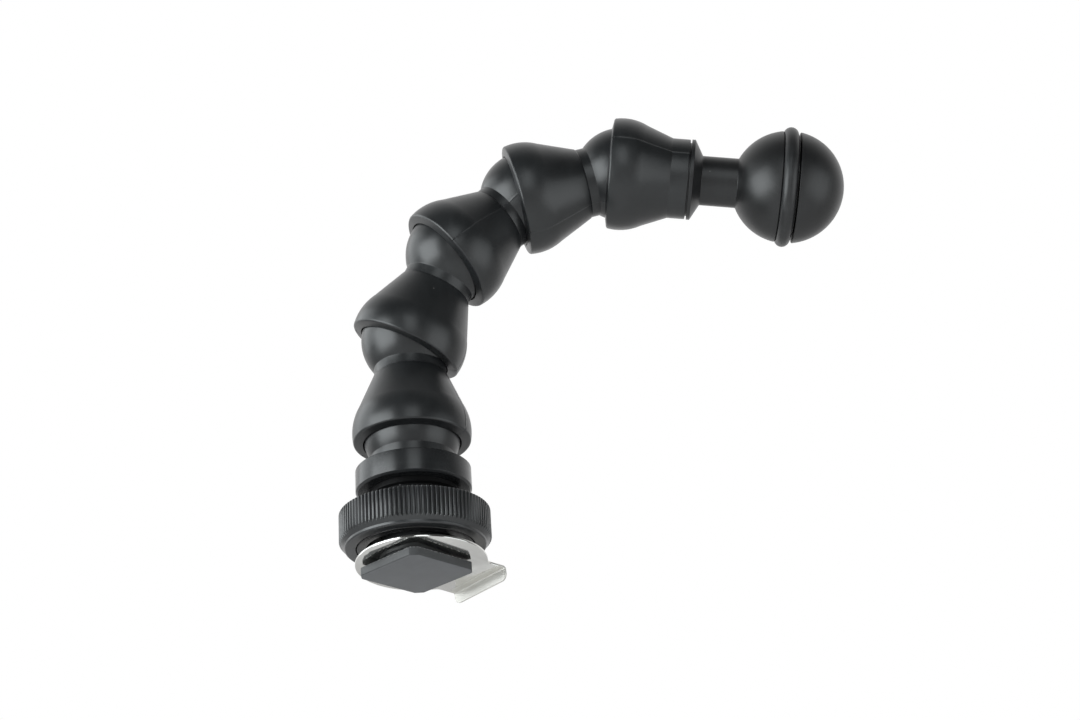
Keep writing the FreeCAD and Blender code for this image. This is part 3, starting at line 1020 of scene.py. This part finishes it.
@dataclass
class ArmTip:
    """Last segment with its hub, the ball adapter and its O-ring."""

    joint: BallAndSocket
    hub_r: float = 9.05 * MM
    hub_start: float = 11.3 * MM
    hub_end: float = 15.3 * MM
    hub_edge: float = 0.25 * MM
    stud_hole_r: float = 5.0 * MM
    stud_r: float = 4.92 * MM
    stud_length: float = 3.8 * MM
    stud_edge: float = 0.4 * MM
    seat_relief_r: float = 8.3 * MM
    seat_relief: float = 0.35 * MM
    flange_r: float = 9.1 * MM
    flange_rim: float = 0.75 * MM
    flange_cone: float = 1.95 * MM
    cone_round: float = 0.25 * MM
    stem_r: float = 5.6 * MM
    stem_round: float = 0.6 * MM
    ball_r: float = 12.7 * MM
    ball_reach: float = 37.9 * MM
    groove_half: float = 1.95 * MM
    groove_floor_r: float = 10.12 * MM
    ring_r: float = 11.85 * MM
    ring_section_r: float = 1.7 * MM
    ring_shift: float = -0.2 * MM
    flash_width: float = 0.07 * MM
    flash_height: float = 0.02 * MM
    seam_turn: float = math.radians(-98.0)

    def outside(self, place: Vector) -> bool:
        """Whether a place is on the outer skin of the last segment."""
        return (self.joint.on_bell(place)
                and math.hypot(place.x, place.y) > self.hub_r - self.hub_edge - TINY
                and place.z < self.hub_end - TINY)

    def end_segment(self) -> Piece:
        """Model the last segment about its own axis.

        Returns:
            The shaded piece, with its socket's centre at the origin.
        """
        joint = self.joint
        section = joint.start_bell(self.stud_hole_r)
        section.line(self.hub_r, self.hub_start, EASED)
        section.line(self.hub_r, self.hub_end, self.hub_edge)
        section.line(self.stud_hole_r, self.hub_end, SOFT)
        piece = turn_section("end_segment_moulding", section.closed(), joint.steps)
        PartingLine().raise_on(piece, self.outside, joint.lip_side())
        return finish_mesh(piece)

    def adapter(self) -> Piece:
        """Model the adapter about its own axis.

        Returns:
            The shaded piece, placed as the last segment is.
        """
        seat = self.hub_end + self.seat_relief
        neck_z = self.ball_reach - math.sqrt(self.ball_r ** 2 - self.stem_r ** 2)
        edge_r = math.sqrt(self.ball_r ** 2 - self.groove_half ** 2)
        half_r = self.ball_r * math.sqrt(0.75)
        low, high = self.ball_reach - self.groove_half, self.ball_reach + self.groove_half
        section = (Section((0.0, self.hub_end - self.stud_length))
                   .line(self.stud_r, self.hub_end - self.stud_length, self.stud_edge)
                   .line(self.stud_r, self.hub_end)
                   .line(self.seat_relief_r, self.hub_end)
                   .line(self.seat_relief_r, seat)
                   .line(self.flange_r, seat, FINE)
                   .line(self.flange_r, seat + self.flange_rim, FINE)
                   .line(self.stem_r, seat + self.flange_rim + self.flange_cone,
                         self.cone_round)
                   .line(self.stem_r, neck_z, self.stem_round)
                   .arc((half_r, self.ball_reach - self.ball_r / 2), (edge_r, low),
                        steps=40, rounding=ROUND)
                   .line(self.groove_floor_r, low, EASED)
                   .line(self.groove_floor_r, high, EASED)
                   .line(edge_r, high, ROUND)
                   .arc((half_r, self.ball_reach + self.ball_r / 2),
                        (0.0, self.ball_reach + self.ball_r), steps=44))
        return finish_mesh(turn_section("ball_adapter_turned", section, self.joint.steps))

    def o_ring(self) -> Piece:
        """Model the O-ring with the thin flash line of its mould.

        Returns:
            The shaded piece, placed as the last segment is.
        """
        start_alone()
        equator = self.ball_reach + self.ring_shift
        bpy.ops.mesh.primitive_torus_add(major_radius=self.ring_r,
                                         minor_radius=self.ring_section_r,
                                         major_segments=160, minor_segments=48,
                                         location=(0, 0, equator))
        piece = bpy.context.active_object
        piece.name = "o_ring_rubber"
        bpy.ops.object.transform_apply(location=True, rotation=True, scale=True)
        bpy.ops.object.mode_set(mode="EDIT")

        def on_flash(place: Vector) -> bool:
            """Whether a place is on the outer equator."""
            return (abs(place.z - equator) < TINY
                    and math.hypot(place.x, place.y) > self.ring_r)

        select_edges(piece, lambda first, second: on_flash(first) and on_flash(second))
        bpy.ops.mesh.bevel(offset=self.flash_width, segments=2, affect="EDGES")
        select_vertices(piece, on_flash)
        bpy.ops.transform.shrink_fatten(value=self.flash_height)
        close_shell()
        return finish_mesh(piece)

    def build(self, line: ArmLine, finishes: Finishes) -> None:
        """Model and dress the three pieces of the tip.

        Args:
            line: Where the joints are.
            finishes: Materials of the arm.
        """
        last = len(line.centres) - 1
        for piece, turn, node, slot, finish in (
                (self.end_segment(), self.seam_turn, "end_segment", "arm_plastic", finishes.arm),
                (self.adapter(), 0.0, "ball_adapter", "ball_aluminium", finishes.ball),
                (self.o_ring(), 0.0, "ball_o_ring", "ring_rubber", finishes.rubber)):
            settle(piece, line.placement(last, turn))
            hand_over(piece, "tip", node, finish)


@dataclass
class BaseTurnings:
    """Base ball, collar with its threaded boss, and the pressure disc."""

    joint: BallAndSocket
    ball_height: float
    shank_top: float = 8.0 * MM
    spigot_r: float = 6.03 * MM
    spigot_top: float = 12.03 * MM
    boss_r: float = 10.0 * MM
    boss_edge: float = 0.5 * MM
    thread_depth: float = 0.54 * MM
    thread_pitch: float = 1.0 * MM
    thread_sunk: float = 0.1 * MM
    collar_r: float = 12.2 * MM
    collar_bottom: float = 17.98 * MM
    collar_top: float = 23.18 * MM
    collar_foot_edge: float = 0.45 * MM
    collar_top_edge: float = 0.2 * MM
    screw_hole_r: float = 2.75 * MM
    ball_neck_r: float = 8.9 * MM
    ball_spigot_r: float = 7.0 * MM
    ball_spigot_length: float = 2.5 * MM
    seat_gap: float = 0.03 * MM
    ball_floor: float = 2.0 * MM
    disc_bore_r: float = 10.3 * MM
    disc_r: float = 12.17 * MM
    disc_flange_r: float = 12.62 * MM
    disc_bottom: float = 5.56 * MM
    disc_thick: float = 2.7 * MM
    disc_flange: float = 1.4 * MM
    disc_edge: float = 0.3 * MM
    disc_flange_edge: float = 0.05 * MM

    def collar(self) -> Piece:
        """Model the collar and its boss, whose thread is cut to its root.

        Returns:
            The shaded piece, in place.
        """
        root_r = self.boss_r - self.thread_depth
        hole_r = self.ball_spigot_r + self.seat_gap
        recess = self.collar_top - self.ball_spigot_length - self.seat_gap
        section = (Section((self.spigot_r, self.shank_top))
                   .line(root_r - self.thread_sunk, self.shank_top, SOFT)
                   .line(root_r, self.shank_top + self.boss_edge)
                   .line(root_r, self.collar_bottom, EASED)
                   .line(self.collar_r - self.collar_foot_edge, self.collar_bottom, CRISP)
                   .line(self.collar_r, self.collar_bottom + self.collar_foot_edge, CRISP)
                   .line(self.collar_r, self.collar_top - self.collar_top_edge, FINE)
                   .line(self.collar_r - self.collar_top_edge, self.collar_top, FINE)
                   .line(hole_r, self.collar_top)
                   .line(hole_r, recess)
                   .line(self.screw_hole_r, recess)
                   .line(self.screw_hole_r, self.spigot_top)
                   .line(self.spigot_r, self.spigot_top)
                   .closed())
        return finish_mesh(turn_section("base_collar_turned", section, self.joint.steps))

    def thread(self) -> Piece:
        """Model the thread of the boss as one ridge that winds up it.

        Returns:
            The shaded ridge, in place.
        """
        foot_r = self.boss_r - self.thread_depth - self.thread_sunk
        half, half_flat = 0.46 * self.thread_pitch, 0.055 * self.thread_pitch
        bottom = self.shank_top + self.boss_edge
        turns = int((self.collar_bottom - bottom) / self.thread_pitch - 0.6)
        centre = bottom + half
        ridge = [(foot_r, centre - half), (self.boss_r, centre - half_flat),
                 (self.boss_r, centre + half_flat), (foot_r, centre + half)]
        points = [Vector((r, 0.0, z)) for r, z in (*ridge, ridge[0])]
        piece = single_vertex("boss_thread", points[0])
        extrude_path(points)
        close_shell()
        bpy.ops.object.mode_set(mode="OBJECT")
        screw = piece.modifiers.new("winding", "SCREW")
        screw.axis = "Z"
        screw.screw_offset = self.thread_pitch
        screw.iterations = turns
        screw.steps = screw.render_steps = 96
        screw.use_merge_vertices = False
        bpy.ops.object.modifier_apply(modifier=screw.name)
        bpy.ops.object.mode_set(mode="EDIT")
        bpy.ops.mesh.select_mode(type="EDGE")
        bpy.ops.mesh.select_all(action="DESELECT")
        bpy.ops.mesh.select_non_manifold()
        bpy.ops.mesh.edge_face_add()
        close_shell()
        return finish_mesh(piece)

    def ball(self) -> Piece:
        """Model the base ball with its neck and spigot.

        Returns:
            The shaded piece, in place.
        """
        joint = self.joint
        seat, floor = self.collar_top, self.collar_top + self.ball_floor
        low = seat - self.ball_spigot_length
        section = (Section((self.ball_spigot_r, low))
                   .line(self.ball_spigot_r, seat)
                   .line(self.ball_neck_r, seat, SOFT))
        joint.add_ball(section, self.ball_height, self.ball_neck_r)
        section.line(joint.through_r, floor, ROUND)
        section.line(self.screw_hole_r, floor).line(self.screw_hole_r, low).closed()
        return finish_mesh(turn_section("base_ball_moulding", section, joint.steps))

    def disc(self) -> Piece:
        """Model the pressure disc with its flange.

        Returns:
            The shaded piece, in place.
        """
        top = self.disc_bottom + self.disc_thick
        flange = top - self.disc_flange
        section = (Section((self.disc_bore_r, top))
                   .line(self.disc_bore_r, self.disc_bottom, EASED)
                   .line(self.disc_r, self.disc_bottom, self.disc_edge)
                   .line(self.disc_r, flange)
                   .line(self.disc_flange_r, flange, self.disc_flange_edge)
                   .line(self.disc_flange_r, top, self.disc_flange_edge)
                   .closed())
        return finish_mesh(turn_section("pressure_disc_moulding", section, self.joint.steps))

    def build(self, finishes: Finishes) -> None:
        """Model and dress the turned pieces of the base.

        Args:
            finishes: Materials of the arm.
        """
        thread, collar = self.thread(), self.collar()
        start_alone(collar)
        thread.select_set(True)
        bpy.ops.object.join()
        for piece, body, node, slot, finish in (
                (collar, "base", "base_collar", "base_aluminium", finishes.collar),
                (self.ball(), "base", "base_ball", "arm_plastic", finishes.arm),
                (self.disc(), "disc", "pressure_disc", "disc_nylon", finishes.disc)):
            hand_over(piece, body, node, finish)
        self.paint_boss_shade(collar, finishes.thread)

    def paint_boss_shade(self, piece: Piece, finish: Material) -> None:
        """Give the boss and its thread, under the collar, their own darker finish as painted
        shade.

        Args:
            piece: The collar with its thread.
            finish: Material of the thread, darkened as painted shade.
        """
        start_alone(piece)
        piece.data.materials.append(finish)
        bpy.ops.object.mode_set(mode="EDIT")
        select_vertices(piece, lambda place: place.z < self.collar_bottom + TINY
                        and math.hypot(place.x, place.y) < self.boss_r + TINY)
        bpy.ops.mesh.select_mode(type="FACE")
        piece.active_material_index = 1
        bpy.ops.object.material_slot_assign()
        bpy.ops.mesh.select_mode(type="VERT")
        bpy.ops.object.mode_set(mode="OBJECT")


@dataclass(frozen=True)
class Station:
    """One step round the section of the clamp ring, as radius and height."""

    crest: Point
    root: Point

    def at(self, crest: bool) -> Point:
        """Radius and height at a crest or at a floor of the knurl."""
        return self.crest if crest else self.root


@dataclass
class KnurledRing:
    """Clamp ring: one tooth is modelled through the whole section and copied round."""

    teeth: int = 103
    crest_share: float = 0.34
    floor_share: float = 0.16
    bottom: float = 5.65 * MM
    height: float = 7.7 * MM
    rim_r: float = 15.8 * MM
    depth: float = 0.42 * MM
    top_edge: float = 0.22 * MM
    band_r: float = 14.71 * MM
    band: float = 0.76 * MM
    chamfer: float = 0.87 * MM
    edge: float = 0.25 * MM
    land: float = 0.35 * MM
    root_edge: float = 0.04 * MM
    tooth_edge: float = 0.035 * MM
    rounding: float = 0.07 * MM
    bore_r: float = 10.06 * MM
    recess_r: float = 12.82 * MM
    recess_lip_r: float = 12.37 * MM
    recess_floor: float = 8.38 * MM
    recess_ledge: float = 6.74 * MM

    def stations(self) -> list[Station]:
        """Steps round the section, from the bore over the top, the rim and the recess.

        Returns:
            The stations in order, of which the last is the first again.
        """
        top, band_top = self.bottom + self.height, self.bottom + self.band
        root_r = self.rim_r - self.depth
        slope = self.chamfer / (self.rim_r - self.band_r)
        crest_end = band_top + self.chamfer
        root_end = band_top + slope * (root_r - self.band_r)
        rounding, part = self.rounding, 0.4 * self.rounding

        def ring(radius: float, height: float) -> Station:
            """The same radius and height all round."""
            return Station((radius, height), (radius, height))

        return [
            ring(self.bore_r, top - self.top_edge),
            ring(self.bore_r + self.top_edge, top),
            ring(root_r - self.land, top),
            Station((self.rim_r - self.top_edge, top), (root_r - self.root_edge, top)),
            Station((self.rim_r - 0.3 * self.top_edge, top - 0.5 * self.top_edge),
                    (root_r, top - self.root_edge)),
            Station((self.rim_r, top - self.top_edge), (root_r, top - self.top_edge)),
            Station((self.rim_r, crest_end + rounding), (root_r, root_end + rounding)),
            Station((self.rim_r - rounding, crest_end - slope * rounding),
                    (root_r - rounding, root_end - slope * rounding)),
            ring(self.band_r + rounding, band_top + slope * rounding),
            ring(self.band_r, band_top - rounding),
            ring(self.band_r, self.bottom + self.edge + rounding),
            ring(self.band_r - part, self.bottom + self.edge - part),
            ring(self.band_r - self.edge + part, self.bottom + part),
            ring(self.band_r - self.edge - rounding, self.bottom),
            ring(self.recess_lip_r + rounding, self.bottom),
            ring(self.recess_lip_r, self.bottom + rounding),
            ring(self.recess_lip_r, self.recess_ledge),
            ring(self.recess_r, self.recess_ledge),
            ring(self.recess_r, self.recess_floor),
            ring(self.bore_r, self.recess_floor),
            ring(self.bore_r, top - self.top_edge),
        ]

    def model(self) -> Piece:
        """Model one tooth, copy it round the axis and join the copies.

        Returns:
            The shaded ring, in place.
        """
        half_crest, half_floor = self.crest_share / 2, self.floor_share / 2
        places = [(share * math.tau / self.teeth, crest) for share, crest in (
            (-half_crest, True), (half_crest, True), (0.5 - half_floor, False),
            (0.5 + half_floor, False), (1 - half_crest, True))]
        stations = self.stations()
        row = []
        for angle, crest in places:
            radius, height = stations[0].at(crest)
            row.append(Vector((radius * math.cos(angle), radius * math.sin(angle), height)))
        piece = single_vertex("clamp_ring_turned", row[0])
        extrude_path(row)
        bpy.ops.mesh.select_all(action="SELECT")
        for here, there in zip(stations, stations[1:]):
            bpy.ops.mesh.extrude_region_move(TRANSFORM_OT_translate={"value": (0, 0, 0)})
            self._move_row(piece, places, here, there)
        bpy.ops.mesh.select_mode(type="VERT")
        bpy.ops.mesh.select_all(action="SELECT")
        bpy.ops.mesh.spin(steps=self.teeth, angle=math.tau, center=(0, 0, 0), axis=(0, 0, 1),
                          dupli=True)
        close_shell(TINY)
        select_edges(piece, self._on_tooth)
        bpy.ops.mesh.bevel(offset=self.tooth_edge, segments=2, affect="EDGES")
        close_shell()
        return finish_mesh(piece, SHARP_ANGLE)

    def _on_tooth(self, first: Vector, second: Vector) -> bool:
        """Whether an edge runs along the crest of a tooth.

        Args:
            first: Place of one end of the edge.
            second: Place of the other end.

        Returns:
            Whether it does.
        """
        along = second - first
        on_crest = all(abs(math.hypot(place.x, place.y) - self.rim_r) < TINY
                       for place in (first, second))
        return on_crest and abs(along.normalized().z) > 0.99 and along.length > self.height / 3

    @staticmethod
    def _move_row(piece: Piece, places: Sequence[tuple[float, bool]], here: Station,
                  there: Station) -> None:
        """Move the row of vertices just extruded from one station to the next.

        Args:
            piece: The tooth in edit mode, with the new row selected.
            places: Azimuth of each vertex of a row, and whether it is on a crest.
            here: The station that the row was extruded from.
            there: The station that it goes to.
        """
        mesh = bmesh.from_edit_mesh(piece.data)
        for vertex in mesh.verts:
            if vertex.select:
                angle = math.atan2(vertex.co.y, vertex.co.x)
                crest = min(places, key=lambda place: abs(place[0] - angle))[1]
                radius, height = there.at(crest)
                scale = radius / here.at(crest)[0]
                vertex.co = (vertex.co.x * scale, vertex.co.y * scale, height)
        bmesh.update_edit_mesh(piece.data)

    def build(self, finishes: Finishes) -> None:
        """Model and dress the ring."""
        hand_over(self.model(), "ring", "clamp_ring", finishes.ring)


@dataclass
class FlatWork:
    """The foot and the locking plate, taken from their CAD nodes with softened edges."""

    foot_edge: float = 0.04 * MM
    plate_edge: float = 0.06 * MM
    flat_angle: float = math.radians(0.4)
    sharp_angle: float = math.radians(25)

    def softened(self, node: str, name: str, width: float) -> Piece:
        """Copy a CAD node, merge its triangles and round its sharp edges.

        Args:
            node: The CAD node.
            name: Name of the new piece.
            width: Width of the rounding.

        Returns:
            The new piece.
        """
        start_alone(frame["nodes"][node])
        bpy.ops.object.duplicate()
        piece = bpy.context.active_object
        piece.name = name
        piece.data.name = name
        bpy.ops.object.parent_clear(type="CLEAR_KEEP_TRANSFORM")
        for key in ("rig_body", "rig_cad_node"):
            del piece[key]
        bpy.ops.mesh.customdata_custom_splitnormals_clear()
        bpy.ops.object.mode_set(mode="EDIT")
        bpy.ops.mesh.select_all(action="SELECT")
        bpy.ops.mesh.remove_doubles(threshold=TINY)
        bpy.ops.mesh.select_all(action="SELECT")
        bpy.ops.mesh.dissolve_limited(angle_limit=self.flat_angle)
        bpy.ops.object.mode_set(mode="OBJECT")
        bevel = piece.modifiers.new("softened", "BEVEL")
        bevel.width = width
        bevel.segments = 2
        bevel.limit_method = "ANGLE"
        bevel.angle_limit = self.sharp_angle
        bpy.ops.object.modifier_apply(modifier=bevel.name)
        return finish_mesh(piece, SHARP_ANGLE)

    def build(self, finishes: Finishes) -> None:
        """Make and dress both pieces, and dress the fasteners inside the base.

        Args:
            finishes: Materials of the arm.
        """
        hand_over(self.softened("shoe_foot", "shoe_foot_milled", self.foot_edge),
                  "base", "shoe_foot", finishes.foot)
        hand_over(self.softened("locking_plate", "locking_plate_sheet", self.plate_edge),
                  "plate", "locking_plate", finishes.plate)
        for node in ("base_screw", "spring_washer"):
            mesh = frame["nodes"][node].data
            mesh.materials.clear()
            mesh.materials.append(finishes.screw)


@dataclass(frozen=True)
class SoftBox:
    """Rectangular light that faces the object.

    Its direction goes along the camera's right, up and back.
    """

    name: str
    direction: tuple[float, float, float]
    distance: float
    size: tuple[float, float]
    watts: float


@dataclass
class Studio:
    """Camera, soft lights, floor and white surroundings.

    The surroundings brighten from the camera's side to the far side: `ambient` gives both
    ends for diffuse light, `room` the near end for reflections, and `brightening` the range of
    the direction's forward part over which they do so.
    """

    eye: Vector = field(default_factory=lambda: Vector((18.458, -347.714, -127.18)) * MM)
    azimuth: float = math.radians(1.619)
    elevation: float = math.radians(26.671)
    roll: float = math.radians(-3.987)
    lens_mm: float = 59.688
    sensor_mm: float = 36.0
    clip: tuple[float, float] = (0.01, 100.0)
    target: Vector = field(default_factory=lambda: Vector((40.0, 0.0, 55.0)) * MM)
    floor_size: float = 12.0
    floor_z: float = -0.5
    ambient: tuple[float, float] = (0.25, 1.0)
    room: float = 0.05
    brightening: tuple[float, float] = (-0.10, 0.80)
    tint: Colour = (0.945, 1.0, 1.02)
    boxes: tuple[SoftBox, ...] = (
        SoftBox("left_box", (-0.86, 0.16, 0.49), 0.6, (0.52, 0.5), 4.6),
        SoftBox("rim_box", (-0.92, 0.21, -0.33), 0.6, (0.5, 0.45), 1.2),
        SoftBox("top_box", (0.02, 0.60, 0.80), 0.75, (0.3, 0.45), 0.9),
        SoftBox("right_box", (0.88, 0.09, 0.47), 0.7, (0.6, 0.6), 1.7),
    )

    def axes(self) -> tuple[Vector, Vector, Vector]:
        """Right, up and forward of the camera.

        Returns:
            The three directions, each of length 1.
        """
        level = math.cos(self.elevation)
        forward = Vector((math.sin(self.azimuth) * level, math.cos(self.azimuth) * level,
                          math.sin(self.elevation)))
        side = forward.cross(Vector((0, 0, 1))).normalized()
        top = side.cross(forward)
        right = side * math.cos(self.roll) + top * math.sin(self.roll)
        return right, right.cross(forward), forward

    def camera(self) -> None:
        """Set the camera where the photograph was taken from."""
        right, up, forward = self.axes()
        data = bpy.data.cameras.new("camera")
        data.lens = self.lens_mm
        data.sensor_width = self.sensor_mm
        data.clip_start, data.clip_end = self.clip
        camera = bpy.data.objects.new("camera", data)
        turn = Matrix((right, up, -forward)).transposed().to_4x4()
        camera.matrix_world = Matrix.Translation(self.eye) @ turn
        bpy.context.scene.collection.objects.link(camera)
        bpy.context.scene.camera = camera

    def hang(self, box: SoftBox) -> None:
        """Hang a soft box.

        Args:
            box: Its place, size and power.
        """
        right, up, forward = self.axes()
        sideways, upwards, back = box.direction
        away = (right * sideways + up * upwards - forward * back).normalized()
        data = bpy.data.lights.new(box.name, "AREA")
        data.shape = "RECTANGLE"
        data.size, data.size_y = box.size
        data.energy = box.watts
        data.color = self.tint
        light = bpy.data.objects.new(box.name, data)
        light.location = self.target + away * box.distance
        light.rotation_mode = "QUATERNION"
        light.rotation_quaternion = away.to_track_quat("Z", "Y")
        bpy.context.scene.collection.objects.link(light)

    def surroundings(self) -> None:
        """White world behind the object, with the darker room on the camera's side."""
        world = bpy.data.worlds.new("studio")
        bpy.context.scene.world = world
        world.use_nodes = True
        graph = Graph(world.node_tree)
        way = graph.node("ShaderNodeTexCoord").outputs["Generated"]
        ahead = graph.number("ShaderNodeVectorMath", {0: way, 1: tuple(self.axes()[2])},
                             "Value", operation="DOT_PRODUCT")
        low, high = self.brightening

        def fall(near: float, far: float) -> Field:
            """Brightness that goes from the camera's side to the far side."""
            return graph.number("ShaderNodeMapRange",
                                {"Value": ahead, "From Min": low, "From Max": high,
                                 "To Min": near, "To Max": far},
                                interpolation_type="SMOOTHSTEP")

        ray = graph.node("ShaderNodeLightPath").outputs
        mirrored = graph.number("ShaderNodeMath", {0: ray["Is Glossy Ray"],
                                                   1: ray["Is Transmission Ray"]},
                                operation="MAXIMUM")
        lit = graph.number("ShaderNodeMix", {0: mirrored, 2: fall(*self.ambient),
                                             3: fall(self.room, 1.0)})
        level = graph.number("ShaderNodeMix", {0: ray["Is Camera Ray"], 2: lit, 3: 1.0})
        shade = graph.node("ShaderNodeBackground", {"Color": (1, 1, 1, 1), "Strength": level})
        graph.node("ShaderNodeOutputWorld", {"Surface": shade.outputs[0]})

    def floor(self) -> None:
        """Lay a pale floor well below the held arm."""
        start_alone()
        bpy.ops.mesh.primitive_plane_add(size=self.floor_size, location=(0, 0, self.floor_z))
        floor = bpy.context.active_object
        floor.name = "floor"
        floor.data.materials.append(PaleFloor().build("floor"))

    def build(self) -> None:
        """Set up the whole studio."""
        self.camera()
        for box in self.boxes:
            self.hang(box)
        self.surroundings()
        self.floor()
        bpy.context.scene.view_settings.view_transform = "Standard"


def main() -> None:
    """Build the pieces in order, then the studio."""
    logging.basicConfig(level=logging.INFO, format="%(name)s: %(message)s")
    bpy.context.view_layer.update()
    line = ArmLine.read()
    finishes = Finishes.make()
    joint = BallAndSocket()
    pitch = (line.centres[1] - line.centres[0]).length
    BaseTurnings(joint, line.centres[0].z).build(finishes)
    KnurledRing().build(finishes)
    FlatWork().build(finishes)
    ArmSegments(joint, pitch).build(line, finishes.arm)
    ArmTip(joint).build(line, finishes)
    Studio().build()


if __name__ == "__main__":
    main()
